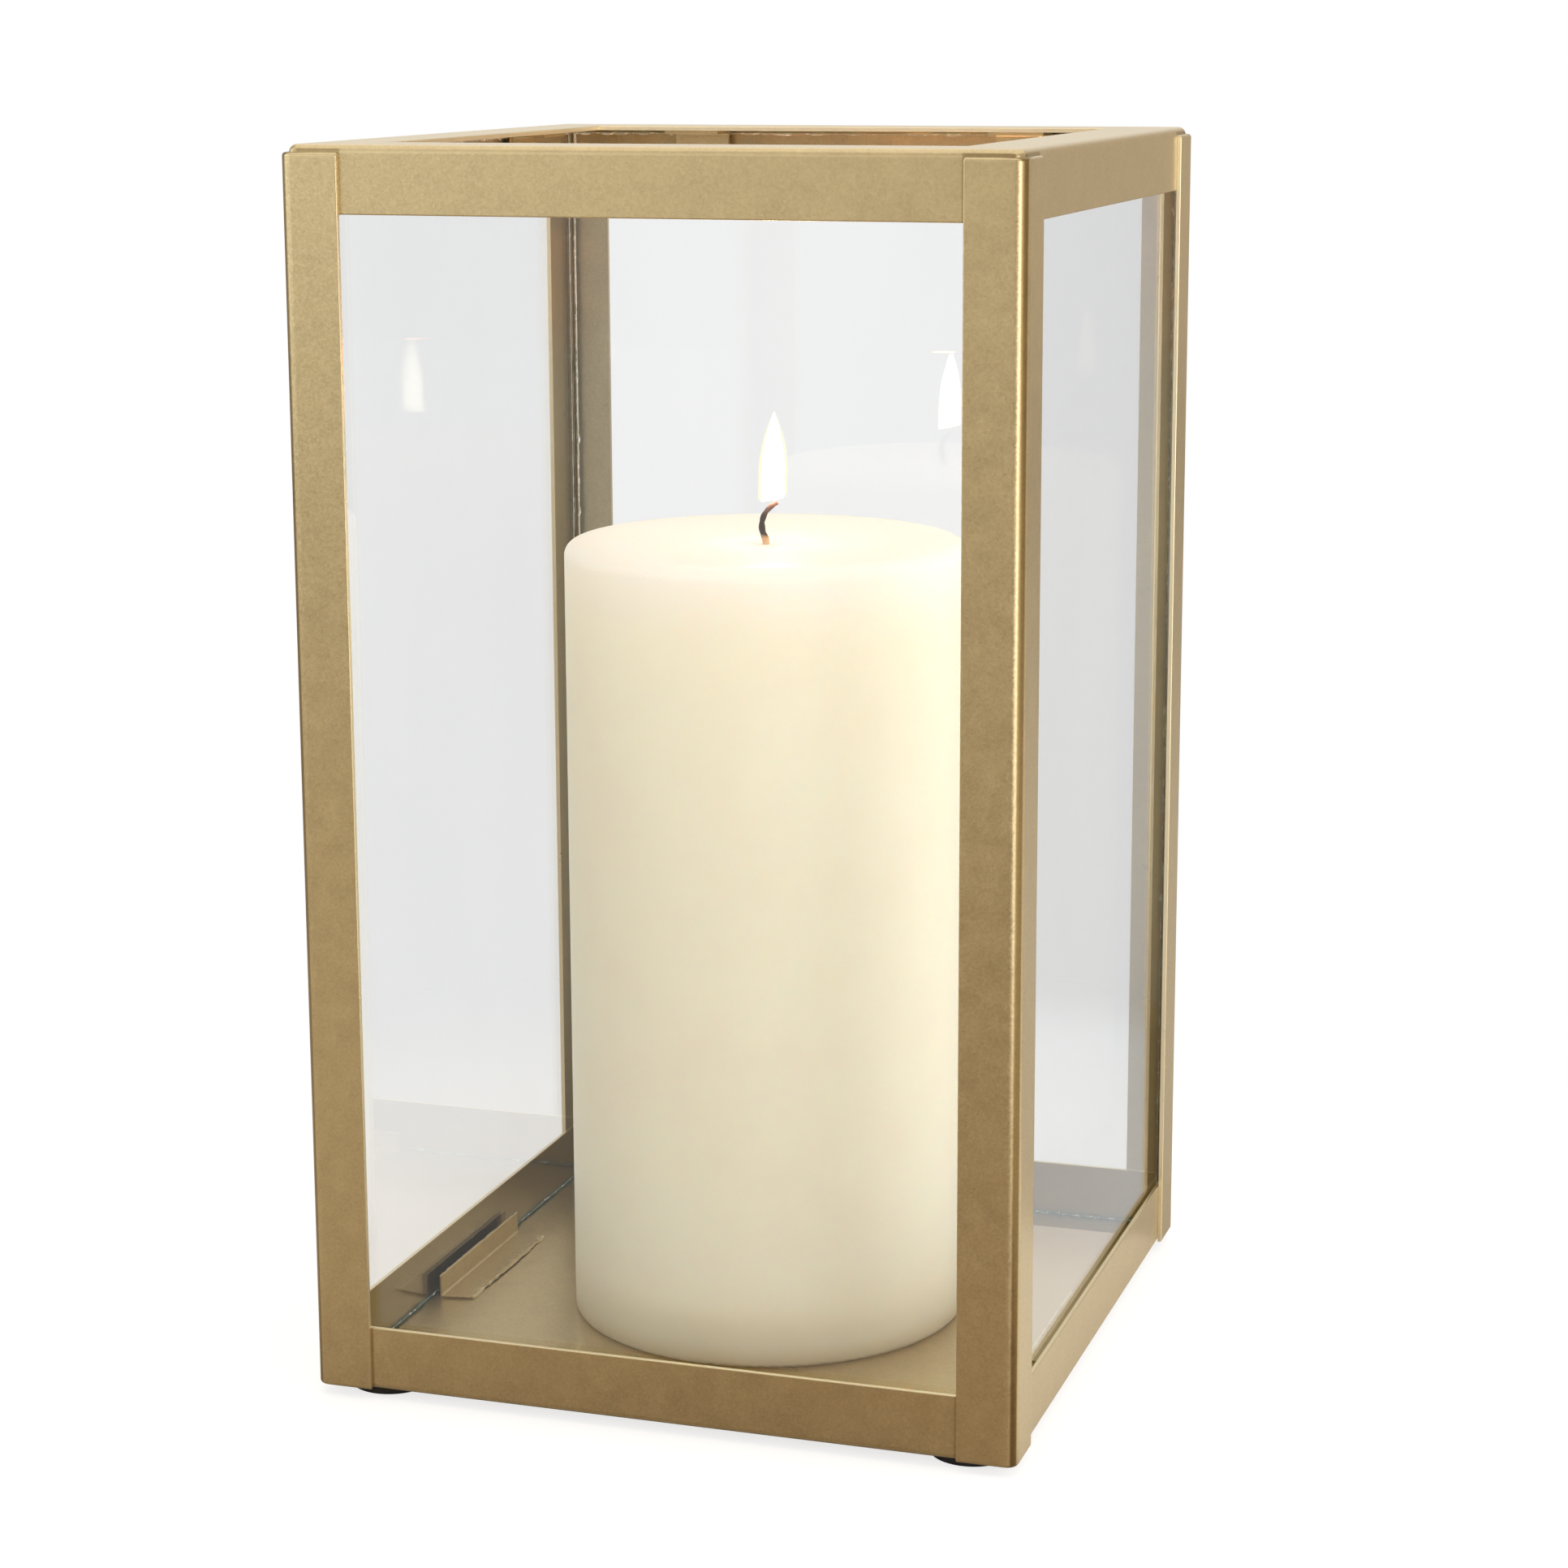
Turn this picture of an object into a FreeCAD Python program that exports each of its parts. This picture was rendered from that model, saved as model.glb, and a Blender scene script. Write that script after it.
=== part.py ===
import FreeCAD, Part
import math
import os

# Hurricane candle lantern: a square sheet-steel frame with four glass panes and an open top, and a
# pillar candle that stands loose on the tray inside it. Millimetres, +Z up, front towards -Y.
# The origin lies under the middle of the lantern, on the surface that its feet stand on.

Vector = FreeCAD.Vector
up = Vector(0, 0, 1)
centre = Vector(0, 0, 0)

# Frame
width_over_posts = 178.0
body_height = 302.5
frame_sheet = 1.2
frame_corner_radius = 3.0
cut_edge_round = 0.3

# Corner posts
post_leg = 14.6
post_bend_radius = 3.0
post_top_drop = 1.8
post_end_round = 0.9

# Top ring, an angle section with its flange turned inwards
ring_height = 16.0
ring_flange = 17.5
ring_bend_radius = 2.0

# Base tray
tray_height = 16.0
tray_bend_radius = 1.6

# Glass
glass_thickness = 2.0
glass_corner_gap = 0.4

# Folded clips that keep the panes against the frame
clip_sheet = 1.0
clip_inner_bend = 0.5
clip_glass_gap = 1.0
clip_leg = 10.0
bottom_clip_length = 53.0
bottom_clip_height = 6.3
top_clip_length = 15.0
top_clip_height = 8.0
top_clip_spacing = 90.0

# Feet
foot_diameter = 21.0
foot_height = 2.5
foot_inset = 14.2
foot_edge_round = 0.8

# Candle
candle_diameter = 101.6
candle_height = 201.0
candle_shoulder = 3.5
candle_foot_round = 1.0
candle_rim = 4.0
candle_dish_depth = 1.2

# Wick and the metal sustainer that holds its foot
wick_diameter = 2.0
wick_clearance = 0.15
wick_first_bend = 5.0
wick_first_turn = 25.0
wick_second_bend = 6.0
wick_second_turn = 80.0
wick_tip = 1.6
wick_plane_angle = 17.0
sustainer_diameter = 30.0
sustainer_sheet = 0.5
sustainer_neck = 6.0

# Places worked out from the sizes above
post_half = width_over_posts / 2
frame_half = post_half - frame_sheet
wall_inside = frame_half - frame_sheet
tray_bottom = foot_height
floor_level = tray_bottom + frame_sheet
body_top = tray_bottom + body_height
flange_underside = body_top - frame_sheet
glass_outside = wall_inside - (tray_bend_radius - frame_sheet)
glass_inside = glass_outside - glass_thickness
glass_top = body_top - ring_bend_radius
clip_outside = glass_inside - clip_glass_gap
foot_place = post_half - foot_inset
bore_radius = wick_diameter / 2 + wick_clearance
neck_radius = bore_radius + sustainer_sheet
wick_foot = floor_level + sustainer_sheet
dish_bottom = floor_level + candle_height - candle_dish_depth

side_angles = {"right": 0, "back": 90, "left": 180, "front": 270}
corner_angles = {"back_right": 0, "back_left": 90, "front_left": 180, "front_right": 270}


def line(start, end):
    """Straight edge between two points."""
    return Part.makeLine(start, end)


def arc(start, middle, end):
    """Round edge through three points."""
    return Part.Arc(start, middle, end).toShape()


def corner_arc(hub, radius, start_angle, end_angle):
    """Quarter bend in the XY plane about a hub point, angles in degrees."""
    angles = [math.radians(a) for a in (start_angle, (start_angle + end_angle) / 2, end_angle)]
    return arc(*[hub + Vector(math.cos(a), math.sin(a), 0) * radius for a in angles])


def turned(shape, angle):
    """Copy of a shape turned about the lantern's upright centre line, in degrees."""
    copy = shape.copy()
    copy.rotate(centre, up, angle)
    return copy


def edges_at(shape, level):
    """Edges of a shape that lie wholly at one height."""
    return [e for e in shape.Edges
            if abs(e.BoundBox.ZMin - level) < 1e-4 and abs(e.BoundBox.ZMax - level) < 1e-4]


def reach(edge):
    """How far an edge lies from the centre line, along X or Y."""
    box = edge.BoundBox
    return max(abs(box.XMin), abs(box.XMax), abs(box.YMin), abs(box.YMax))


def rounded_block(half_width, corner_radius, low, high):
    """Square block about the centre line with its four upright edges rounded."""
    corner = Vector(-half_width, -half_width, low)
    block = Part.makeBox(2 * half_width, 2 * half_width, high - low, corner)
    upright = [e for e in block.Edges if e.BoundBox.ZLength > (high - low) / 2]
    return block.makeFillet(corner_radius, upright)


def folded_pan(open_level, closed_level, bend_radius):
    """Pan of frame sheet: walls from the open end to a closed end whose edges are bent round."""
    inwards = math.copysign(frame_sheet, open_level - closed_level)
    low, high = sorted((open_level, closed_level))
    shell = rounded_block(frame_half, frame_corner_radius, low, high)
    shell = shell.makeFillet(bend_radius, edges_at(shell, closed_level))
    inner_end = closed_level + inwards
    low, high = sorted((open_level + inwards, inner_end))
    hollow = rounded_block(wall_inside, frame_corner_radius - frame_sheet, low, high)
    hollow = hollow.makeFillet(bend_radius - frame_sheet, edges_at(hollow, inner_end))
    pan = shell.cut(hollow)
    return pan.makeFillet(cut_edge_round, edges_at(pan, open_level))


def top_ring():
    """Welded ring: low outer wall, and a flange that runs inwards round the open top."""
    ring = folded_pan(body_top - ring_height, body_top, ring_bend_radius)
    mouth_half = frame_half - ring_flange
    corner = Vector(-mouth_half, -mouth_half, flange_underside - frame_sheet)
    ring = ring.cut(Part.makeBox(2 * mouth_half, 2 * mouth_half, 3 * frame_sheet, corner))
    mouth_edges = [e for e in edges_at(ring, body_top) if reach(e) < mouth_half + cut_edge_round]
    return ring.makeFillet(cut_edge_round, mouth_edges)


def base_tray():
    """Folded tray: flat floor and a low wall round it."""
    return folded_pan(tray_bottom + tray_height, tray_bottom, tray_bend_radius)


def corner_post():
    """Folded angle post that wraps the back right corner of ring and tray from outside."""
    outer = post_half
    inner = post_half - frame_sheet
    leg_end = post_half - post_leg
    bend = post_half - post_bend_radius
    hub = Vector(bend, bend, tray_bottom)
    inner_bend = post_bend_radius - frame_sheet

    def at(x, y):
        return Vector(x, y, tray_bottom)

    outline = Part.Wire([
        line(at(leg_end, inner), at(bend, inner)),
        corner_arc(hub, inner_bend, 90, 0),
        line(at(inner, bend), at(inner, leg_end)),
        line(at(inner, leg_end), at(outer, leg_end)),
        line(at(outer, leg_end), at(outer, bend)),
        corner_arc(hub, post_bend_radius, 0, 90),
        line(at(bend, outer), at(leg_end, outer)),
        line(at(leg_end, outer), at(leg_end, inner)),
    ])
    post_top = body_top - post_top_drop
    post = Part.Face(outline).extrude(up * (post_top - tray_bottom))
    ends = edges_at(post, tray_bottom) + edges_at(post, post_top)
    outside = [e for e in ends if reach(e) > outer - 1e-4 and e.Length > 2 * frame_sheet]
    post = post.makeFillet(post_end_round, outside)
    leg_edges = [e for e in post.Edges
                 if e.BoundBox.ZLength > ring_height and reach(e) > outer - 1e-4
                 and e.BoundBox.XMin + e.BoundBox.YMin < outer + leg_end + frame_sheet]
    return post.makeFillet(cut_edge_round, leg_edges)


def side_pane():
    """Right pane: it stands on the tray floor and stops where the frame's corner bends begin."""
    half_length = wall_inside - (frame_corner_radius - frame_sheet)
    corner = Vector(glass_inside, -half_length, floor_level)
    return Part.makeBox(glass_thickness, 2 * half_length, glass_top - floor_level, corner)


def end_pane():
    """Pane for the front and back, made in the right pane's place: it fits between the side panes."""
    half_length = glass_inside - glass_corner_gap
    corner = Vector(glass_inside, -half_length, floor_level)
    return Part.makeBox(glass_thickness, 2 * half_length, glass_top - floor_level, corner)


def folded_clip(seat_level, height, length, place):
    """Angle clip on the right side: a leg against its seat and a leg that stands along the glass.

    A negative height hangs the clip under its seat. The place is its middle along the pane.
    """
    rise = math.copysign(1, height)
    start = place - length / 2
    outer_bend = clip_inner_bend + clip_sheet
    toe = clip_outside - clip_leg
    inside = clip_outside - clip_sheet
    hub_x = clip_outside - outer_bend
    diagonal = math.sqrt(0.5)

    def at(x, lift):
        return Vector(x, start, seat_level + rise * lift)

    def bend_middle(radius):
        return at(hub_x + radius * diagonal, outer_bend - radius * diagonal)

    tip = abs(height)
    outline = Part.Wire([
        line(at(toe, 0), at(hub_x, 0)),
        arc(at(hub_x, 0), bend_middle(outer_bend), at(clip_outside, outer_bend)),
        line(at(clip_outside, outer_bend), at(clip_outside, tip)),
        line(at(clip_outside, tip), at(inside, tip)),
        line(at(inside, tip), at(inside, outer_bend)),
        arc(at(inside, outer_bend), bend_middle(clip_inner_bend), at(hub_x, clip_sheet)),
        line(at(hub_x, clip_sheet), at(toe, clip_sheet)),
        line(at(toe, clip_sheet), at(toe, 0)),
    ])
    return Part.Face(outline).extrude(Vector(0, length, 0))


def foot():
    """Round pad under the back right corner, with its lower edge eased."""
    pad = Part.makeCylinder(foot_diameter / 2, foot_height, Vector(foot_place, foot_place, 0))
    return pad.makeFillet(foot_edge_round, edges_at(pad, 0))


def candle_body():
    """Turned pillar: eased foot, rounded shoulder, dished top, wick bore and sustainer recess."""
    radius = candle_diameter / 2
    top = floor_level + candle_height
    dish_radius = radius - candle_shoulder - candle_rim
    diagonal = math.sqrt(0.5)
    recess = sustainer_diameter / 2 + wick_clearance
    neck_top = wick_foot + sustainer_neck

    def at(x, z):
        return Vector(x, 0, z)

    def round_corner(hub_x, hub_z, size, rise):
        return at(hub_x + size * diagonal, hub_z + rise * size * diagonal)

    foot_hub = radius - candle_foot_round
    foot_end = floor_level + candle_foot_round
    shoulder_hub = radius - candle_shoulder
    shoulder_start = top - candle_shoulder
    sphere = (dish_radius ** 2 + candle_dish_depth ** 2) / (2 * candle_dish_depth)

    def dish_height(x):
        return dish_bottom + sphere - math.sqrt(sphere ** 2 - x ** 2)

    neck_bore = neck_radius + wick_clearance
    outline = Part.Wire([
        line(at(recess, floor_level), at(foot_hub, floor_level)),
        arc(at(foot_hub, floor_level), round_corner(foot_hub, foot_end, candle_foot_round, -1),
            at(radius, foot_end)),
        line(at(radius, foot_end), at(radius, shoulder_start)),
        arc(at(radius, shoulder_start), round_corner(shoulder_hub, shoulder_start, candle_shoulder, 1),
            at(shoulder_hub, top)),
        line(at(shoulder_hub, top), at(dish_radius, top)),
        arc(at(dish_radius, top), at(dish_radius / 2, dish_height(dish_radius / 2)),
            at(bore_radius, dish_height(bore_radius))),
        line(at(bore_radius, dish_height(bore_radius)), at(bore_radius, neck_top + wick_clearance)),
        line(at(bore_radius, neck_top + wick_clearance), at(neck_bore, neck_top + wick_clearance)),
        line(at(neck_bore, neck_top + wick_clearance), at(neck_bore, wick_foot)),
        line(at(neck_bore, wick_foot), at(recess, wick_foot)),
        line(at(recess, wick_foot), at(recess, floor_level)),
    ])
    return Part.Face(outline).revolve(centre, up, 360)


def wick_sustainer():
    """Thin disc flush with the candle's underside, with a neck round the wick's foot."""
    disc = Part.makeCylinder(sustainer_diameter / 2, sustainer_sheet, Vector(0, 0, floor_level))
    neck = Part.makeCylinder(neck_radius, sustainer_neck, Vector(0, 0, wick_foot))
    hole = Part.makeCylinder(bore_radius, sustainer_neck, Vector(0, 0, wick_foot))
    return disc.fuse(neck.cut(hole)).removeSplitter()


def candle_wick():
    """Round wick: straight through the candle, then two opposite bends and a short straight tip."""

    def at(side, height):
        return Vector(side, 0, height)

    def along(hub, radius, angle):
        return hub + at(radius * math.cos(angle), radius * math.sin(angle))

    first = math.radians(wick_first_turn)
    last = math.radians(wick_second_turn - wick_first_turn)
    foot_point = at(0, wick_foot)
    first_start = at(0, dish_bottom)
    first_hub = at(-wick_first_bend, dish_bottom)
    first_end = along(first_hub, wick_first_bend, first)
    second_hub = along(first_hub, wick_first_bend + wick_second_bend, first)
    second_start = math.pi + first
    second_end = along(second_hub, wick_second_bend, math.pi - last)
    second_middle = along(second_hub, wick_second_bend, (second_start + math.pi - last) / 2)
    tip = second_end + at(math.sin(last), math.cos(last)) * wick_tip
    path = Part.Wire([
        line(foot_point, first_start),
        arc(first_start, along(first_hub, wick_first_bend, first / 2), first_end),
        arc(first_end, second_middle, second_end),
        line(second_end, tip),
    ])
    section = Part.Wire([Part.makeCircle(wick_diameter / 2, foot_point, up)])
    return turned(path.makePipeShell([section], True, False), wick_plane_angle)


def lantern():
    """Every piece of the lantern by name, in its place."""
    pieces = {"top_ring": top_ring(), "base_tray": base_tray()}
    for corner, angle in corner_angles.items():
        pieces["corner_post_" + corner] = turned(corner_post(), angle)
        pieces["foot_" + corner] = turned(foot(), angle)
    for side, angle in side_angles.items():
        pane = side_pane() if side in ("left", "right") else end_pane()
        pieces["glass_pane_" + side] = turned(pane, angle)
        low_clip = folded_clip(floor_level, bottom_clip_height, bottom_clip_length, 0)
        pieces["bottom_clip_" + side] = turned(low_clip, angle)
        for number, place in ((1, -top_clip_spacing / 2), (2, top_clip_spacing / 2)):
            high_clip = folded_clip(flange_underside, -top_clip_height, top_clip_length, place)
            pieces["top_clip_%s_%d" % (side, number)] = turned(high_clip, angle)
    pieces["candle_body"] = candle_body()
    pieces["wick_sustainer"] = wick_sustainer()
    pieces["candle_wick"] = candle_wick()
    return pieces


os.makedirs("parts", exist_ok=True)
for name, piece in lantern().items():
    solid = piece.Solids[0]
    if len(piece.Solids) != 1 or not solid.isValid():
        raise RuntimeError(name + " is not one sound solid")
    solid.exportStep("parts/" + name + ".step")
    print("%-24s %10.1f mm3" % (name, solid.Volume))
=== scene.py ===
import math

import bmesh
import bpy
import numpy as np
from bpy.props import FloatProperty, FloatVectorProperty, PointerProperty
from bpy.types import Operator, Panel, PropertyGroup
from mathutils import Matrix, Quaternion, Vector


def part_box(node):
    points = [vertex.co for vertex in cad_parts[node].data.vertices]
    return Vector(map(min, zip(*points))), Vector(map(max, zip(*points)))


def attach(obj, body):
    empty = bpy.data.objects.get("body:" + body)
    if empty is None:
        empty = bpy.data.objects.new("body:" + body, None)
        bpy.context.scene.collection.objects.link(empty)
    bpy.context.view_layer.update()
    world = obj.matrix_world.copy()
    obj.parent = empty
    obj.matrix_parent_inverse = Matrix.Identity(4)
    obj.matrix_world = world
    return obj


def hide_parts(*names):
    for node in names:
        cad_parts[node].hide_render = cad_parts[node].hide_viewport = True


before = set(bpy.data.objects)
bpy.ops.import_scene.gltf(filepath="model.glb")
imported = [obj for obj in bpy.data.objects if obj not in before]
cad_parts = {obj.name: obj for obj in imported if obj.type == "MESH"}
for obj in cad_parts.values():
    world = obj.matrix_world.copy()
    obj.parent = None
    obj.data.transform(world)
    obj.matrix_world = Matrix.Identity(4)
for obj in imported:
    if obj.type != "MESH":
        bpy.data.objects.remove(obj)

bl_info = {
    "name": "Candle Lantern",
    "version": (1, 0, 0),
    "blender": (4, 5, 0),
    "location": "3D View > Sidebar > Lantern",
    "description": "Dresses a candle lantern: metallic paint, glass, wax, wick, flame and a pale stage",
    "category": "Object",
}

SIDES = ("front", "right", "back", "left")
CORNERS = ("front_left", "front_right", "back_left", "back_right")
MM = 0.001
RING_FLANGE = 17.5 * MM  # how far the ring reaches in from its outer face
PANE_CHIPS = 7 * MM  # length of glass edge to each chip
CLIP_CHIPS = 3 * MM  # length of a clip's cut edge to each chip
CLIP_GAP = 0.5 * MM  # how much further in the folded clips stand than the solids
WICK_BEARING = math.radians(17)  # upright plane that the wick bends in, turned from the X axis
LAMP_AIM = Vector((0, 0, 0.15))  # point that the soft boxes face
# Soft boxes: name, bearing in degrees to the right of the front, distance, height, size, watts, and
# whether gloss shows it.
LAMPS = (("lamp_key", 40, 1.0, 0.22, (0.60, 0.85), 4.4, True),
         ("lamp_right", 100, 1.0, 0.45, (0.8, 0.8), 5.6, False),
         ("lamp_low", 5, 1.0, 0.04, (0.6, 0.2), 0.8, False),
         ("lamp_top", 180, 0.15, 1.3, (2.0, 2.0), 9.0, True))
WINDOW_WAY = (-0.86, -0.50, 0.08)  # from the lantern to the daylight
SCREEN_WAY = (-0.30, 0.87, 0.38)  # from the lantern to the white screen
SHADOW_REACH = 0.16  # how far from the middle the table shows its shadow in full
SHADOW_END = 0.34  # how far from the middle the shadow has faded out
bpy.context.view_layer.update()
CANDLE_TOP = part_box("candle_body")[1].z


def length(name, description, default):
    """A length property in metres."""
    return FloatProperty(name=name, description=description, default=default, unit="LENGTH", precision=6)


def share(name, description, default):
    """A property from 0 to 1."""
    return FloatProperty(name=name, description=description, default=default, min=0, max=1,
                         subtype="FACTOR")


def angle(name, description, degrees):
    """An angle property, given in degrees."""
    return FloatProperty(name=name, description=description, default=math.radians(degrees),
                         subtype="ANGLE")


def colour(name, description, default):
    """A linear colour property."""
    return FloatVectorProperty(name=name, description=description, default=default, size=3,
                               min=0, max=1, subtype="COLOR")


class PaintSettings(PropertyGroup):
    """Metallic paint of the sheet-metal frame."""
    tone: colour("Tone", "Colour of the metallic paint", (0.60, 0.49, 0.285))
    flake: length("Flake", "Width of a metal flake in the paint", 0.00045)
    mottle: length("Mottle", "Width of the paint's soft blotches", 0.006)
    peel: length("Peel", "Width of the paint's orange-peel dimples", 0.0016)
    peel_depth: length("Peel depth", "Depth of the dimples", 1.1e-05)
    roughness: share("Roughness", "Mean roughness of the paint", 0.33)


class GlassSettings(PropertyGroup):
    """Clear panes with raw cut edges."""
    tint: colour("Tint", "What a pane lets through", (0.970, 0.974, 0.973))
    edge: colour("Raw edge", "Green of the cut edges", (0.16, 0.36, 0.32))
    seam: length("Seam", "How far the ground arris comes in from a raw edge", 0.00045)
    chip_depth: length("Chip depth", "Depth of the largest chips along a raw edge", 0.00045)


class CandleSettings(PropertyGroup):
    """Pillar candle, its wick and its flame."""
    wax: colour("Wax", "Colour of the wax", (0.985, 0.904, 0.745))
    rim: colour("Rim", "Colour of the thin, clear wax round the top", (0.92, 0.89, 0.85))
    glow: colour("Glow", "Colour of the wax lit from inside", (1.0, 0.87, 0.58))
    glow_depth: length("Glow depth", "How far the flame's light sinks into the wax", 0.05)
    char: colour("Char", "Colour of the burnt wick", (0.045, 0.03, 0.026))
    flame_rim: colour("Flame rim", "Colour of the flame's thin outside", (1.0, 0.95, 0.62))
    flame_core: colour("Flame core", "Colour of the flame's inside", (1.0, 0.90, 0.66))
    flame_cast: colour("Flame cast", "Colour of the flame's light on the frame", (1.0, 0.43, 0.15))
    flame_width: length("Flame width", "Width of the flame at its widest", 0.0072)
    flame_top: length("Flame top", "Height of the flame's tip over the candle's top", 0.0323)
    flame_foot: length("Flame foot", "Height of the flame's foot over the candle's top", 0.0098)
    flame_lean: length("Flame lean", "How far the flame stands beside the wick's foot", 0.0019)
    flame_power: FloatProperty(name="Flame power", description="Flame's light on the frame over it",
                               default=0.085, unit="POWER")


class StageSettings(PropertyGroup):
    """Table, lamps and camera."""
    lens: FloatProperty(name="Lens", description="Focal length on a 36 mm sensor", default=80.69)
    drop: FloatProperty(name="Lens drop", description="How far the lens is shifted down", default=-0.03)
    distance: length("Distance", "From the camera to the point it looks at", 0.8954)
    azimuth: angle("Azimuth", "How far the camera stands to the right of the front", 17.935)
    elevation: angle("Elevation", "How far the camera looks down", 11.41)
    roll: angle("Roll", "How far the camera tips to its side", -0.224)
    aim: FloatVectorProperty(name="Aim", description="Point that the camera looks at", size=3,
                             default=(0.0039, 0.0013, 0.1537), subtype="XYZ", unit="LENGTH")
    board: colour("Board", "White board that the lantern stands on", (0.80, 0.79, 0.77))
    behind: colour("Behind", "Table top behind the board", (0.50, 0.48, 0.455))
    before: colour("Before", "Dark wood in front of the board", (0.30, 0.221, 0.149))
    beside: colour("Beside", "Paler wood in front of the board, on the left", (0.50, 0.43, 0.335))
    around: colour("Around", "Walls of the room", (0.56, 0.475, 0.37))
    window: colour("Window", "Pale daylight from the front left", (0.97, 1.0, 0.98))
    screen: colour("Screen", "White screen behind the lantern", (0.98, 0.96, 0.93))
    board_back: length("Board back", "Where the board ends behind the lantern", 0.085)
    board_front: length("Board front", "Where the board ends in front of the lantern", -0.075)
    board_side: length("Board side", "How far right the wood in front reaches", 0.20)
    sheet: colour("Sheet", "White sheet in front of the board, on the right", (0.95, 0.95, 0.93))
    mirrored: colour("Mirrored", "What the glass mirrors of the room", (0.51, 0.51, 0.51))
    mirrored_board: colour("Mirrored board", "What the glass mirrors of the board's right part",
                           (1.0, 0.96, 0.91))
    mirrored_near: colour("Mirrored table", "What the glass mirrors of the table just behind that part",
                          (0.66, 0.68, 0.69))
    loft: colour("Loft", "Upper part of the room, as the glass and the tray behind it mirror it",
                 (0.74, 0.68, 0.55))
    table_reach: length("Table reach", "How far the table goes all round", 2.5)


class Wire:
    """One output of a shader node. Arithmetic on it adds Math nodes."""

    def __init__(self, recipe, socket):
        self.recipe = recipe
        self.socket = socket

    def out(self, name):
        """Another output of the same node."""
        return Wire(self.recipe, self.socket.node.outputs[name])

    def maths(self, operation, *values):
        return self.recipe.add("ShaderNodeMath", {"operation": operation}, dict(enumerate(values)))

    def __add__(self, other):
        return self.maths("ADD", self, other)

    def __radd__(self, other):
        return self.maths("ADD", other, self)

    def __sub__(self, other):
        return self.maths("SUBTRACT", self, other)

    def __rsub__(self, other):
        return self.maths("SUBTRACT", other, self)

    def __mul__(self, other):
        return self.maths("MULTIPLY", self, other)

    def __rmul__(self, other):
        return self.maths("MULTIPLY", other, self)

    def __truediv__(self, other):
        return self.maths("DIVIDE", self, other)

    def __rtruediv__(self, other):
        return self.maths("DIVIDE", other, self)

    def __pow__(self, other):
        return self.maths("POWER", self, other)

    def __rpow__(self, other):
        return self.maths("POWER", other, self)


class Recipe:
    """The node tree of one material, or of the world, put together a node at a time."""

    def __init__(self, tree):
        self.tree = tree
        tree.nodes.clear()

    @staticmethod
    def find(sockets, key):
        """A socket by its place, identifier or name."""
        if isinstance(key, int):
            return sockets[key]
        return next((s for s in sockets if s.identifier == key), None) or sockets[key]

    def add(self, kind, settings=None, sockets=None, output=0):
        """Adds a node, sets its settings, then gives its sockets their values or links."""
        node = self.tree.nodes.new(kind)
        for key, value in (settings or {}).items():
            if key == "stops":
                self.set_stops(node.color_ramp, value)
            else:
                setattr(node, key, value)
        for key, value in (sockets or {}).items():
            entry = self.find(node.inputs, key)
            if isinstance(value, Wire):
                self.tree.links.new(value.socket, entry)
            else:
                entry.default_value = value
        return Wire(self, self.find(node.outputs, output)) if node.outputs else None

    @staticmethod
    def set_stops(ramp, stops):
        """Gives a ramp its (place, colour) stops."""
        while len(ramp.elements) < len(stops):
            ramp.elements.new(1)
        for element, (place, tone) in zip(ramp.elements, stops):
            element.position = place
            element.color = (*tone, 1)

    def place(self):
        """The point on the surface, in the lantern's own frame."""
        return self.add("ShaderNodeTexCoord", output="Object")

    def height(self):
        """The point's height over the table."""
        return self.add("ShaderNodeSeparateXYZ", sockets={0: self.place()}, output="Z")

    def noise(self, size, detail=2.0, rough=0.5, stretch=None):
        """Soft noise about one half, with features of that size."""
        where = self.place()
        if stretch:
            where = self.vector("MULTIPLY", where, stretch)
        return self.add("ShaderNodeTexNoise", {"noise_dimensions": "3D"},
                        {"Vector": where, "Scale": 1 / size, "Detail": detail, "Roughness": rough})

    def cells(self, size):
        """Random colours in cells of that size."""
        return self.add("ShaderNodeTexVoronoi", {"feature": "F1"},
                        {"Vector": self.place(), "Scale": 1 / size}, output="Color")

    def vector(self, operation, first, second):
        """Vector arithmetic."""
        key = "Scale" if operation == "SCALE" else 1
        return self.add("ShaderNodeVectorMath", {"operation": operation}, {0: first, key: second})

    def step(self, value, low, high, to_low=0.0, to_high=1.0):
        """Smooth step: to_low at low, to_high at high."""
        return self.add("ShaderNodeMapRange", {"interpolation_type": "SMOOTHSTEP", "clamp": True},
                        {"Value": value, "From Min": low, "From Max": high,
                         "To Min": to_low, "To Max": to_high})

    def blend(self, factor, first, second, kind="MIX"):
        """Mixes two colours."""
        return self.add("ShaderNodeMix", {"data_type": "RGBA", "blend_type": kind, "clamp_factor": True},
                        {"Factor_Float": factor, "A_Color": self.tone(first), "B_Color": self.tone(second)},
                        output="Result_Color")

    @staticmethod
    def tone(value):
        """A colour socket's value: a wire, or three numbers with full alpha."""
        return value if isinstance(value, Wire) else (*value, 1)

    def bump(self, height, depth):
        """Normal of a surface raised by height times depth."""
        return self.add("ShaderNodeBump", None, {"Strength": 1.0, "Distance": depth, "Height": height})

    def principled(self, **sockets):
        """The Principled shader; a socket's name has _ for each space."""
        return self.add("ShaderNodeBsdfPrincipled", None,
                        {key.replace("_", " "): value for key, value in sockets.items()})

    def mix(self, factor, first, second):
        """Mixes two shaders."""
        return self.add("ShaderNodeMixShader", None, {0: factor, 1: first, 2: second})

    def finish(self, shader, kind="ShaderNodeOutputMaterial"):
        self.add(kind, None, {"Surface": shader})


def material(name):
    """A new material and the recipe for it."""
    made = bpy.data.materials.new(name)
    made.use_nodes = True
    return made, Recipe(made.node_tree)


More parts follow.
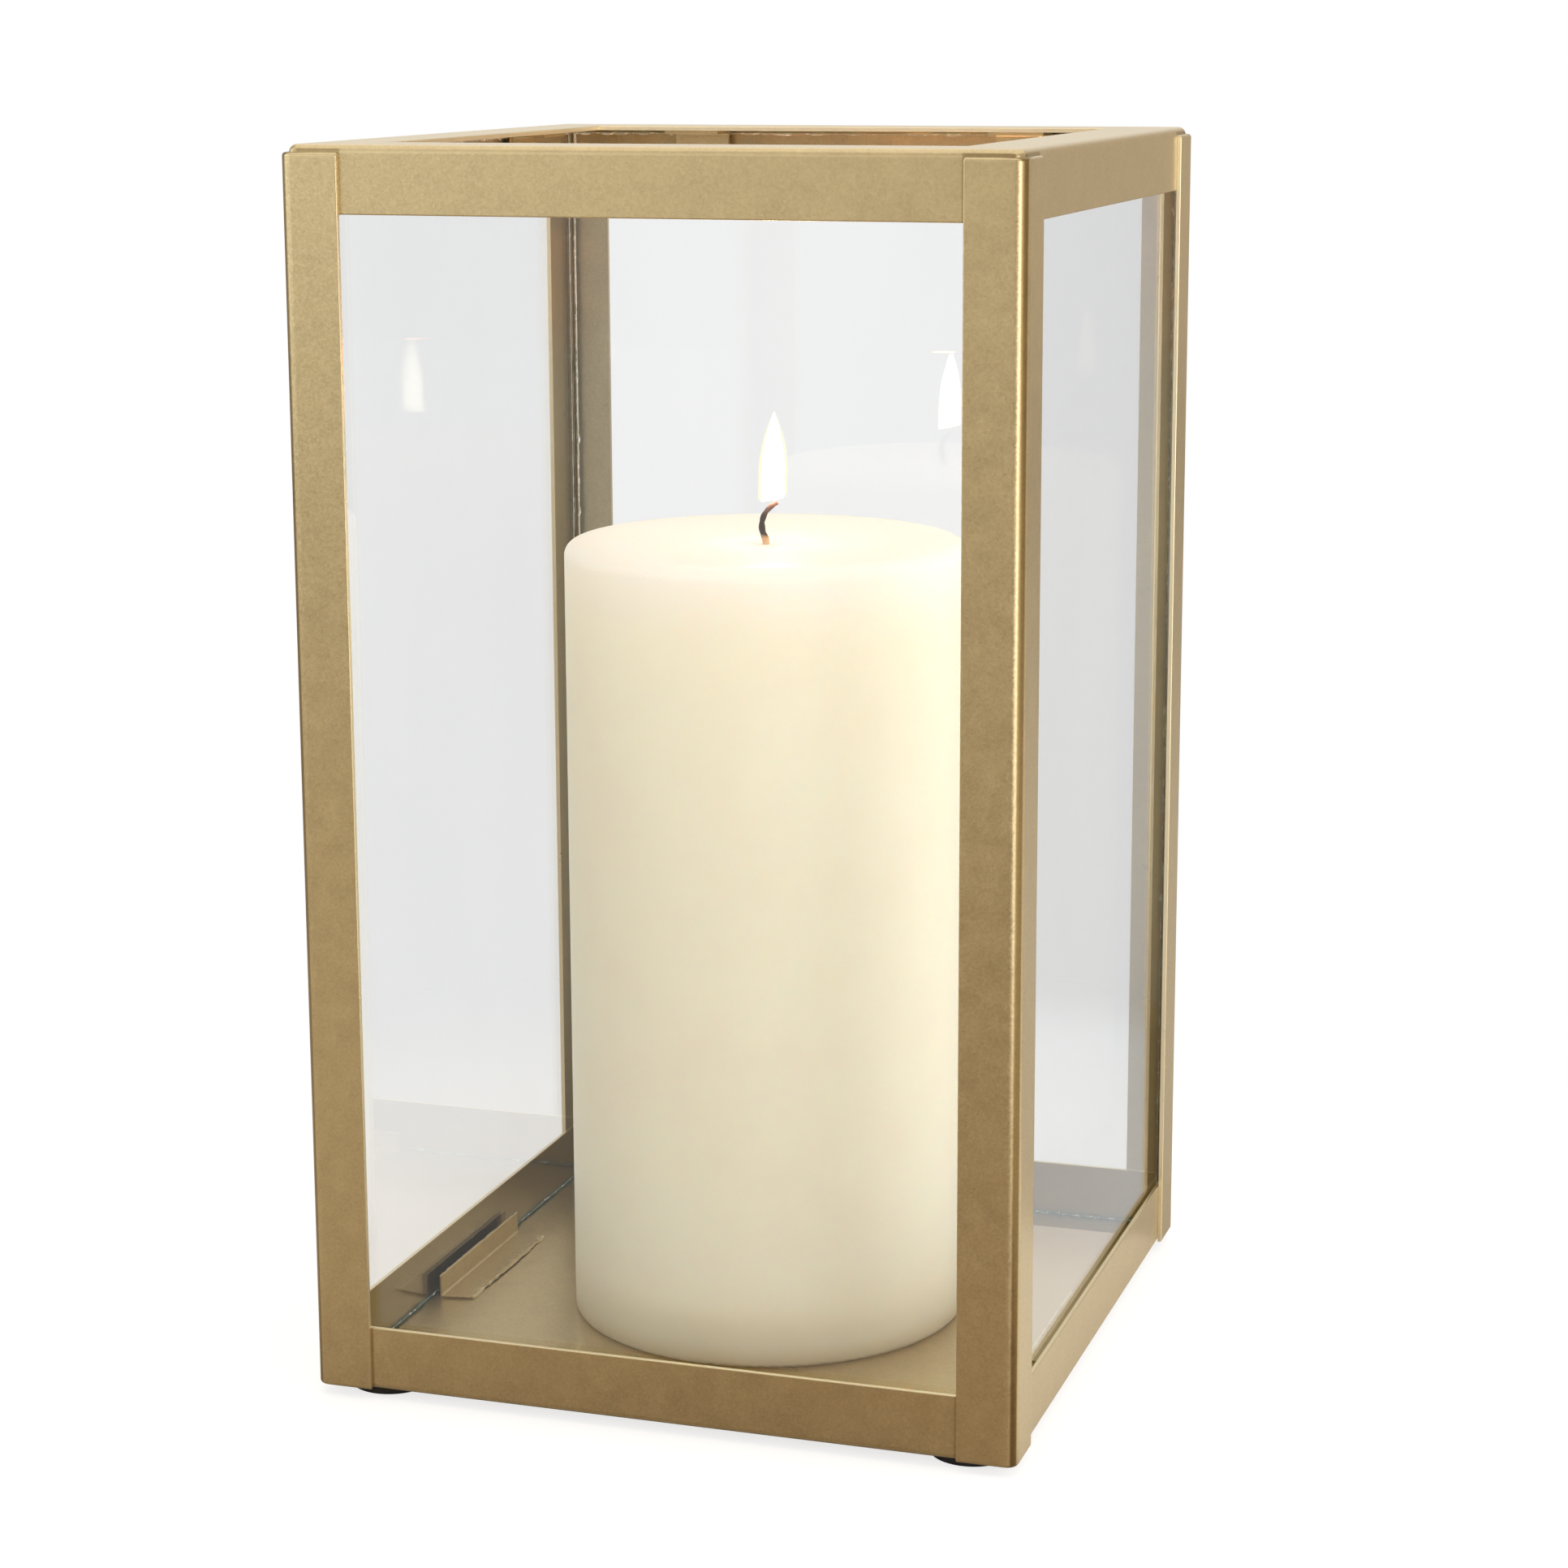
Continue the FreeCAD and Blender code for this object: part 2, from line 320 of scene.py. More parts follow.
def metallic_paint(settings, name, wear_and_light):
    """Champagne paint: flakes tilt and vary the gloss, blotches vary the tone, dimples make it peel.
    The hook given after the name takes the recipe and the paint's colour, and gives the colour with its
    wear, its painted highlights and its painted shade."""
    made, r = material(name)
    flakes = r.cells(settings.flake)
    flake = r.add("ShaderNodeSeparateColor", None, {0: flakes})
    mottle = r.noise(settings.mottle, 3.0, 0.55)
    peel = r.noise(settings.peel, 1.5)
    grain = r.noise(settings.peel / 2, 2.0, 0.6)
    shade = 0.75 + 0.10 * flake + 0.20 * mottle + 0.20 * grain
    base = r.blend(1.0, settings.tone, shade, "MULTIPLY")
    base = wear_and_light(r, base) if wear_and_light else base
    tilt = r.vector("SCALE", r.vector("SUBTRACT", flakes, (0.5, 0.5, 0.5)), 0.05)
    normal = r.vector("NORMALIZE", r.vector("ADD", r.bump(peel, settings.peel_depth), tilt), (0, 0, 0))
    rough = settings.roughness + 0.10 * (mottle - 0.5) + 0.08 * (flake.out("Green") - 0.5)
    r.finish(r.principled(Base_Color=base, Metallic=0.9, Roughness=rough, Normal=normal,
                          Coat_Weight=0.15, Coat_Roughness=0.2))
    return made


def from_middle(r):
    """A point's smaller and larger distance from the lantern's upright middle planes, and its height."""
    spot = r.add("ShaderNodeSeparateXYZ", None, {0: r.vector("ABSOLUTE", r.place(), (0, 0, 0))})
    across = spot.out("Y")
    return spot.maths("MINIMUM", spot, across), spot.maths("MAXIMUM", spot, across), spot.out("Z")


def pale_wear_and_highlight(r, share, base):
    """Paint made pale by that share: thin paint from wear, and a painted highlight where cut edges and
    folds catch the light.
    """
    return r.blend(share, base, (0.88, 0.79, 0.58))


def post_wear_and_painted_light(r, base):
    """Post: pale along the cut edges of its two legs, from thin paint and a painted highlight, and a
    painted shade, dark brown, inside its fold behind the glass.
    """
    along, out, _ = from_middle(r)
    low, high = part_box("corner_post_back_right")
    inside = r.step(out, high.x - 0.2 * MM, high.x - 0.5 * MM)
    fold = r.step(along, high.x - 8 * MM, high.x - 2 * MM) * inside
    # painted shade: the inner faces turn dark brown towards the fold, where the gap behind the glass lies
    # in shade
    shaded = r.blend(fold, base, r.blend(1.0, base, (0.40, 0.33, 0.22), "MULTIPLY"))
    # thin paint and a painted highlight along the legs' cut edges
    return pale_wear_and_highlight(r, r.step(along, low.x + 0.10 * MM, low.x + 0.04 * MM, 0.0, 0.85), shaded)


def beside_posts(r, base, node):
    """Paint of that node, with a painted shade in the step beside the posts that are welded over its outer
    faces.
    """
    along, out, _ = from_middle(r)
    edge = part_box("corner_post_back_right")[0].x
    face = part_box(node)[1].x
    # painted shade along the step beside each post
    shade = r.step(along, edge - 0.9 * MM, edge - 0.1 * MM) * r.step(out, face - 0.4 * MM, face - 0.2 * MM)
    return r.blend(shade, base, r.blend(1.0, base, (0.62, 0.57, 0.50), "MULTIPLY"))


def tray_wear_and_painted_light(r, base):
    """Tray: pale along the top of its wall, from thin paint and a painted highlight, brown in the narrow
    gap between wall and glass as painted shade, and darker beside the posts as painted shade."""
    _, out, up = from_middle(r)
    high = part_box("base_tray")[1]
    inner = r.step(out, high.x - 1.7 * MM, high.x - 1.5 * MM)
    gap = r.step(out, high.x - 0.5 * MM, high.x - 0.9 * MM) * inner
    # painted shade: the wall's inner face, in the narrow gap behind the glass, turns brown
    brown = r.blend(1.0, base, (0.72, 0.64, 0.42), "MULTIPLY")
    wall = r.blend(gap, beside_posts(r, base, "base_tray"), brown)
    # thin paint and a painted highlight along the wall's top
    return pale_wear_and_highlight(r, r.step(up, high.z - 0.12 * MM, high.z - 0.04 * MM), wall)


def ring_wear_and_painted_light(r, base):
    """Ring: pale along the cut edge round its mouth, from thin paint and a painted highlight, and darker
    beside the posts as painted shade.
    """
    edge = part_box("top_ring")[1].x - RING_FLANGE
    rail = beside_posts(r, base, "top_ring")
    # thin paint and a painted highlight along the mouth's cut edge
    return pale_wear_and_highlight(r, r.step(from_middle(r)[1], edge + 0.12 * MM, edge + 0.04 * MM), rail)


def clip_wear_and_painted_light(r, base):
    """Clip: pale along its top from thin paint and a painted highlight, pale along its fold and its toe's
    edge as painted highlights, pale where its toe is scuffed, and a painted shade, near black, on the face
    against the glass.
    """
    _, out, up = from_middle(r)
    low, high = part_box("bottom_clip_right")
    back, toe, top = high.x, low.x, high.z
    scuff = r.step(r.noise(0.0016, 3.0, 0.7), 0.48, 0.62) * r.step(out, toe + 3.2 * MM, toe + 0.6 * MM)
    # painted highlight along the toe's edge
    rim = r.step(out, toe + 0.9 * MM, toe + 0.6 * MM)
    # painted highlight along the fold
    fold = r.step(out, back - 1.7 * MM, back - 1.2 * MM) * r.step(up, low.z + 1.4 * MM, low.z + 0.9 * MM)
    # thin paint and a painted highlight along the top
    bare = r.step(up, top - 0.5 * MM, top - 0.35 * MM)
    pale = pale_wear_and_highlight(r, 0.7 * scuff + 0.8 * rim + 0.35 * fold + 0.8 * bare, base)
    # painted shade: the face against the glass is near black
    return r.blend(r.step(out, back - 0.7 * MM, back - 0.6 * MM), pale, (0.018, 0.016, 0.018))


def clear_glass(settings):
    """Clear pane: refracts what is seen through it and lets lamp light pass straight."""
    made, r = material("clear_pane")
    smear = r.noise(0.05, 3.0, 0.6, (1, 1, 0.4))
    tint = r.blend(r.step(smear, 0.35, 0.75), settings.tint, [0.985 * c for c in settings.tint])
    clear = r.principled(Base_Color=tint, Roughness=0.0, IOR=1.5, Transmission_Weight=1.0)
    through = r.add("ShaderNodeBsdfTransparent", None, {"Color": (*settings.tint, 1)})
    path = r.add("ShaderNodeLightPath")
    seen = r.mix(path.out("Is Diffuse Ray"), clear, through)
    r.finish(r.mix(path.out("Is Shadow Ray"), seen, through))
    return made


def cut_glass(settings):
    """Cut edge of a pane: green, with a fine frosting in patches."""
    made, r = material("cut_glass_edge")
    frost = r.step(r.noise(0.004, 3.0, 0.6), 0.45, 0.7)
    tint = r.blend(frost, settings.edge, (0.80, 0.92, 0.88))
    r.finish(r.principled(Base_Color=tint, Roughness=0.06 + 0.2 * frost, IOR=1.5, Transmission_Weight=1.0))
    return made


def chipped_glass():
    """Bruised arris of a pane: white chips, and between them glass that is green at the foot and pale
    higher up, where the pale is a painted highlight on the upright edges.
    """
    made, r = material("chipped_arris")
    bruise = r.step(r.noise(0.0022, 3.0, 0.65), 0.53, 0.63)
    # pale on the upright edges: a painted highlight
    sound = r.blend(r.step(r.height(), 0.006, 0.010), (0.10, 0.26, 0.26), (0.66, 0.65, 0.58))
    base = r.blend(bruise, sound, (0.95, 0.98, 0.97))
    r.finish(r.principled(Base_Color=base, Roughness=0.2 + 0.3 * bruise, IOR=1.5, Transmission_Weight=0.1))
    return made


def ivory_wax(settings):
    """Wax: soft inside, faint bloom and pits, warmer and a little darker towards its foot as painted light
    bounced from the gold tray, with a painted shade at the very foot, and the flame's light sinking in from
    the top by a power of e that falls with the depth."""
    made, r = material("ivory_wax")
    bloom = r.noise(0.02, 4.0, 0.6)
    pits = r.noise(0.0012, 2.0, 0.5)
    depth = CANDLE_TOP - r.height()
    lit = math.e ** (0 - depth / settings.glow_depth)
    body = r.blend(r.step(bloom, 0.3, 0.8), settings.wax, [0.96 * c for c in settings.wax])
    # painted light: a warm, slightly darker bounce from the gold tray over the lower wax
    warm = r.blend(1.0, body, (0.975, 0.925, 0.85), "MULTIPLY")
    body = r.blend(r.step(r.height(), 0.034, 0.006), body, warm)
    # painted shade, warmer still, at the very foot where the candle meets the tray
    painted_foot_shade = r.blend(1.0, body, (1.0, 0.86, 0.68), "MULTIPLY")
    body = r.blend(r.step(r.height(), 0.010, 0.004), body, painted_foot_shade)
    base = r.blend(r.step(depth + 0.01 * (bloom - 0.5), 0.022, 0.0), body, settings.rim)
    light = r.blend(1.0, settings.glow, lit, "MULTIPLY")
    r.finish(r.principled(Base_Color=base, Roughness=0.42 + 0.12 * (bloom - 0.5),
                          Normal=r.bump(pits, 4e-06), Subsurface_Weight=0.8,
                          Subsurface_Radius=(1.0, 0.8, 0.62), Subsurface_Scale=0.014,
                          Emission_Color=light, Emission_Strength=0.2))
    return made


def burnt_cotton(settings):
    """Wick: tan where the wax wets it, charred black above, with a reddish end."""
    made, r = material("burnt_cotton")
    up = (r.height() - (CANDLE_TOP - 2 * MM)) / (12.5 * MM) + 0.12 * (r.noise(0.0008) - 0.5)
    tone = r.add("ShaderNodeValToRGB", {"stops": [
        (0.0, (0.80, 0.62, 0.42)), (0.16, (0.76, 0.45, 0.24)), (0.27, settings.char),
        (0.62, (0.05, 0.035, 0.033)), (0.80, (0.16, 0.075, 0.06)), (1.0, (0.42, 0.15, 0.11))]}, {0: up})
    r.finish(r.principled(Base_Color=tone, Roughness=0.8,
                          Normal=r.bump(r.noise(0.0003, 3.0, 0.7), 0.00008)))
    return made


def burning_gas(name, tone, strength, mirrored, foot, fade, solid):
    """Flame: glowing gas that fades out towards its slanted foot, and is brighter where glass
    mirrors it."""
    made, r = material(name)
    spot = r.add("ShaderNodeSeparateXYZ", None, {0: r.place()})
    slant = spot.out("Z") - 0.2 * spot.out("X")
    shown = r.step(slant, foot, foot + fade, 0.0, solid)
    glow, glare = (r.add("ShaderNodeEmission", None, {"Color": (*tone, 1), "Strength": power})
                   for power in (strength, mirrored))
    glow = r.mix(r.add("ShaderNodeLightPath", output="Is Singular Ray"), glow, glare)
    r.finish(r.mix(shown, r.add("ShaderNodeBsdfTransparent"), glow))
    return made


def black_rubber():
    """Foot pad: smooth black rubber with a fine grain and a little dust."""
    made, r = material("black_rubber")
    dust = r.step(r.noise(0.004, 3.0, 0.6), 0.5, 0.8)
    base = r.blend(dust, (0.008, 0.008, 0.009), (0.022, 0.021, 0.02))
    r.finish(r.principled(Base_Color=base, Roughness=0.34 + 0.2 * dust,
                          Normal=r.bump(r.noise(0.0006, 2.0), 8e-06)))
    return made


def tin_plate():
    """Sustainer: bright tin plate with drawn streaks."""
    made, r = material("tin_plate")
    streak = r.noise(0.003, 3.0, 0.6, (1, 6, 1))
    base = r.blend(streak, (0.62, 0.61, 0.58), (0.78, 0.77, 0.75))
    r.finish(r.principled(Base_Color=base, Metallic=1.0, Roughness=0.22 + 0.2 * streak,
                          Normal=r.bump(streak, 6e-06)))
    return made


def piece(name, points, faces, smooth=True):
    """An object at the origin from an array of points and lists of faces, which are turned outwards."""
    mesh = bpy.data.meshes.new(name)
    mesh.from_pydata(points, [], faces)
    shape = bmesh.new()
    shape.from_mesh(mesh)
    bmesh.ops.recalc_face_normals(shape, faces=shape.faces)
    shape.to_mesh(mesh)
    shape.free()
    if smooth:
        mesh.shade_smooth()
    else:
        mesh.shade_flat()
    made = bpy.data.objects.new(name, mesh)
    bpy.context.scene.collection.objects.link(made)
    return made


def skin(rows, columns):
    """Quads between neighbouring points of a grid that closes on itself along its columns."""
    row, column = np.meshgrid(np.arange(rows - 1), np.arange(columns), indexing="ij")
    ahead = (column + 1) % columns
    corners = (row * columns + column, row * columns + ahead,
               (row + 1) * columns + ahead, (row + 1) * columns + column)
    return np.stack(corners, -1).reshape(-1, 4).tolist()


def tube(rings):
    """Points and faces of a closed skin over rings of points, with a flat cap on each end ring."""
    rows, columns, _ = rings.shape
    last = (rows - 1) * columns
    caps = [list(range(columns)), list(range(last, last + columns))]
    return rings.reshape(-1, 3), skin(rows, columns) + caps


def bites(path, around, rng, depth, spacing):
    """Chips along an edge: at each place, the deepest of many half-ellipse bites of random width,
    one to each length of the spacing."""
    count = int(around / spacing)
    middle = rng.uniform(0, around, count)
    width = rng.uniform(0.6, 2.6, count) * MM
    deep = depth * rng.uniform(0.15, 1.0, count) ** 2
    off = (path[:, None] - middle + around / 2) % around - around / 2
    return 0.12 * depth + (deep * np.sqrt(np.clip(1 - (off / width) ** 2, 0, 1))).max(1)


def pane_rings(width, height, thickness, rng, depth, seam):
    """Five rings round a pane's edge. Each is the pane's outline, pulled in by the seam and chips
    of the nearer arris: in full on the two face rings, a third beside those and almost not between."""
    around = 2 * (width + height)
    path = np.arange(0, around, 0.6 * MM)
    turn = np.array([0, width, width + height, 2 * width + height, around])
    across = np.interp(path, turn, np.array([-1, 1, 1, -1, -1]) * width / 2)
    upward = np.interp(path, turn, np.array([-1, -1, 1, 1, -1]) * height / 2)
    near, far = (seam + bites(path, around, rng, depth, PANE_CHIPS) for _ in range(2))
    pulls = (near, near / 3, near * 0 + 0.05 * MM, far / 3, far)
    layers = np.array([0.5, 0.3, 0.0, -0.3, -0.5]) * thickness
    return np.stack([np.stack([np.clip(across, pull - width / 2, width / 2 - pull),
                               np.clip(upward, pull - height / 2, height / 2 - pull),
                               np.full_like(path, layer)], -1)
                     for pull, layer in zip(pulls, layers)])


def clip_rings(leg, height, along, rng, sheet=0.6 * MM, bend=0.7 * MM):
    """A folded strip: the section's middle line runs along the leg, round a quarter circle and up the
    stand, and is set off by half the sheet to both sides. Along the strip the toe lifts in a low hump,
    chips bite its toe and its top, and the leg's ends slope in."""
    half = sheet / 2
    turn = np.linspace(0, np.pi / 2, 6)
    out = np.concatenate([np.linspace(leg, half + bend, 8)[:-1],
                          half + bend * (1 - np.sin(turn)),
                          np.full(7, half)])
    up = np.concatenate([np.full(7, half),
                         half + bend * (1 - np.cos(turn)),
                         np.linspace(half + bend, height, 8)[1:]])
    run, rise = np.gradient(out), np.gradient(up)
    span = np.hypot(run, rise)
    shift = half * np.stack([rise / span, -run / span])
    out, up = (np.concatenate([line + off, (line - off)[::-1]]) for line, off in zip((out, up), shift))
    around = np.ptp(along) * 1.1
    toe, top = (bites(along, around, rng, depth * MM, CLIP_CHIPS)[:, None] for depth in (0.5, 0.28))
    hump = 0.32 * MM * np.exp(-(along[:, None] / (0.3 * np.ptp(along))) ** 4)
    reach = np.clip((out - 0.4 * leg) / (0.6 * leg), 0, 1)
    rings_out = out - toe * (out > leg - 0.1 * MM)
    rings_up = up + (hump + 0.4 * toe) * reach ** 2 - top * (up > height - 0.1 * MM)
    rings_along = along[:, None] * (1 - 0.07 * (out / leg) ** 2)
    return rings_out, rings_along, np.clip(rings_up, 0, height)


def wick_line(foot, bend_start, steps):
    """The wick's middle line: its lean from upright is straight-line between stations along its
    length, and each point is the running sum of the steps in that direction."""
    straight = bend_start - foot
    lean = np.radians([0, 0, -25, 55, 55])
    runs = np.array([0, straight, 5 * MM * math.radians(25), 6 * MM * math.radians(80), 1.6 * MM])
    station = np.cumsum(runs)
    along = np.linspace(0, station[-1], steps)
    heading = np.interp(along, station, lean)
    middle = (heading[1:] + heading[:-1]) / 2
    pace = np.diff(along)
    side = np.concatenate([[0], np.cumsum(np.sin(middle) * pace)])
    rise = foot + np.concatenate([[0], np.cumsum(np.cos(middle) * pace)])
    return along, heading, side, rise


class LANTERN_OT_frame(Operator):
    """Paints the ring, the tray, the posts and the upper clips"""
    bl_idname = "lantern.frame"
    bl_label = "Paint the Frame"

    def execute(self, context):
        settings = context.scene.lantern_paint
        groups = (("ring_paint", ring_wear_and_painted_light, ["top_ring"]),
                  ("tray_paint", tray_wear_and_painted_light, ["base_tray"]),
                  ("post_paint", post_wear_and_painted_light, ["corner_post_" + c for c in CORNERS]),
                  ("upper_clip_paint", None, [f"top_clip_{s}_{n}" for s in SIDES for n in (1, 2)]))
        for name, wear_and_light, nodes in groups:
            paint = metallic_paint(settings, name, wear_and_light)
            for node in nodes:
                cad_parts[node].material_slots[0].material = paint
        return {"FINISHED"}


class LANTERN_OT_clips(Operator):
    """Makes the folded clips on the tray's floor"""
    bl_idname = "lantern.clips"
    bl_label = "Fold the Lower Clips"

    def execute(self, context):
        paint = metallic_paint(context.scene.lantern_paint, "clip_paint", clip_wear_and_painted_light)
        facing = {"front": (0, -1), "right": (1, 0), "back": (0, 1), "left": (-1, 0)}
        for seed, side in enumerate(SIDES):
            node = "bottom_clip_" + side
            low, high = (np.array(corner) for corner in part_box(node))
            across = np.array(facing[side])
            outer = np.abs(np.stack([low, high])[:, :2] @ across).max()
            size = np.sort((high - low)[:2])
            along = np.linspace(-0.5, 0.5, 121) * size[1]
            leg = size[0] - CLIP_GAP
            out, run, up = clip_rings(leg, high[2] - low[2], along, np.random.default_rng(20 + seed))
            beside = np.array([-across[1], across[0]])
            level = (outer - CLIP_GAP - out)[..., None] * across + run[..., None] * beside
            rings = np.concatenate([level, (low[2] + up)[..., None]], -1)
            clip = piece("folded_clip_" + side, *tube(rings), smooth=False)
            clip.data.materials.append(paint)
            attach(clip, "frame")
            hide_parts(node)
        return {"FINISHED"}


class LANTERN_OT_panes(Operator):
    """Makes the four glass panes with their raw edges"""
    bl_idname = "lantern.panes"
    bl_label = "Glaze the Sides"

    def execute(self, context):
        settings = context.scene.lantern_glass
        clear = clear_glass(settings)
        finishes = (clear, cut_glass(settings), chipped_glass())
        for seed, side in enumerate(SIDES):
            node = "glass_pane_" + side
            low, high = (np.array(corner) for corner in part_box(node))
            size = high - low
            flat = int(np.argmin(size))
            wide = 1 - flat
            rings = pane_rings(size[wide], size[2], size[flat], np.random.default_rng(seed),
                               settings.chip_depth, settings.seam)
            points = np.empty_like(rings)
            points[..., wide] = rings[..., 0]
            points[..., 2] = rings[..., 1]
            points[..., flat] = rings[..., 2]
            corners, faces = tube(points + (low + high) / 2)
            pane = piece("pane_" + side, corners, faces, smooth=False)
            for finish in finishes:
                pane.data.materials.append(finish)
            bands = np.repeat([2, 1, 1, 2], points.shape[1])
            slots = np.concatenate([bands, [0, 0]]).astype(np.int32)
            pane.data.polygons.foreach_set("material_index", slots)
            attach(pane, "frame")
            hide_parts(node)
        return {"FINISHED"}


class LANTERN_OT_feet(Operator):
    """Gives the feet their rubber"""
    bl_idname = "lantern.feet"
    bl_label = "Finish the Feet"

    def execute(self, context):
        rubber = black_rubber()
        for corner in CORNERS:
            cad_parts["foot_" + corner].material_slots[0].material = rubber
        return {"FINISHED"}


class LANTERN_OT_candle(Operator):
    """Gives the candle its wax and its sustainer its tin"""
    bl_idname = "lantern.candle"
    bl_label = "Finish the Candle"

    def execute(self, context):
        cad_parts["candle_body"].material_slots[0].material = ivory_wax(context.scene.lantern_candle)
        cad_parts["wick_sustainer"].material_slots[0].material = tin_plate()
        return {"FINISHED"}


class LANTERN_OT_wick(Operator):
    """Makes the braided, burnt wick"""
    bl_idname = "lantern.wick"
    bl_label = "Braid the Wick"

    def execute(self, context):
        low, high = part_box("candle_wick")
        dish = CANDLE_TOP - 1.2 * MM
        along, heading, side, rise = wick_line(low.z, dish, 640)
        # A round section whose radius narrows along the bare end. It swells where either of two crossing
        # twists, cosines of twice the angle plus or minus the length, is high.
        turn = np.linspace(0, 2 * np.pi, 24, endpoint=False)
        bare = np.clip((rise - dish) / (high.z - dish), 0, 1)
        strands = np.maximum(np.cos(2 * turn + along[:, None] / (0.45 * MM)),
                             np.cos(2 * turn - along[:, None] / (0.45 * MM)))
        radius = (0.98 - 0.36 * bare[:, None]) * MM * (0.90 + 0.10 * strands)
        out = side[:, None] + radius * np.cos(turn) * np.cos(heading)[:, None]
        up = rise[:, None] - radius * np.cos(turn) * np.sin(heading)[:, None]
        aside = radius * np.sin(turn)
        rings = np.stack([out * math.cos(WICK_BEARING) - aside * math.sin(WICK_BEARING),
                          out * math.sin(WICK_BEARING) + aside * math.cos(WICK_BEARING), up], -1)
        wick = piece("braided_wick", *tube(rings))
        wick.data.materials.append(burnt_cotton(context.scene.lantern_candle))
        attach(wick, "candle")
        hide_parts("candle_wick")
        return {"FINISHED"}


class LANTERN_OT_flame(Operator):
    """Makes the flame as a bright core in a thin pale mantle"""
    bl_idname = "lantern.flame"
    bl_label = "Light the Flame"

    def execute(self, context):
        s = context.scene.lantern_candle
        foot = CANDLE_TOP + s.flame_foot
        low, tip = foot - 3.5 * MM, CANDLE_TOP + s.flame_top
        # Name, tone, strength, strength where glass mirrors it, share of the width, and how solid it is.
        tones = (("flame_mantle", s.flame_rim, 1.2, 1.2, 1.0, 0.75),
                 ("flame_core", s.flame_core, 12.0, 45.0, 0.80, 1.0))
        # The radius follows a quarter of an ellipse up from the foot, stays full, and from 0.42 of the
        # height on loses a power of the rest. The middle line leans a little more towards the tip.
        for name, tone, strength, mirrored, scale, solid in tones:
            t = np.linspace(0, 1, 49)[:, None]
            turn = np.linspace(0, 2 * np.pi, 32, endpoint=False)
            fullness = np.sqrt(np.clip(1 - (1 - t / 0.14) ** 2, 0, 1)) * (t < 0.14) + (t >= 0.14)
            taper = np.clip(1 - np.clip((t - 0.42) / 0.58, 0, 1) ** 1.9, 0, 1)
            radius = scale * s.flame_width / 2 * fullness * taper + 0.02 * MM
            rise = low + (tip - low) * (t * (0.94 + 0.06 * scale))
            lean = s.flame_lean * (0.85 + 0.3 * t)
            rings = np.stack([lean * math.cos(WICK_BEARING) + radius * np.cos(turn),
                              lean * math.sin(WICK_BEARING) + radius * np.sin(turn),
                              rise + 0 * turn], -1)
            flame = piece(name, *tube(rings))
            gas = burning_gas(name, tone, strength, mirrored, foot - 0.2 * MM, 1.6 * MM, solid)
            flame.data.materials.append(gas)
            flame.visible_shadow = False
            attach(flame, "candle")
        return {"FINISHED"}


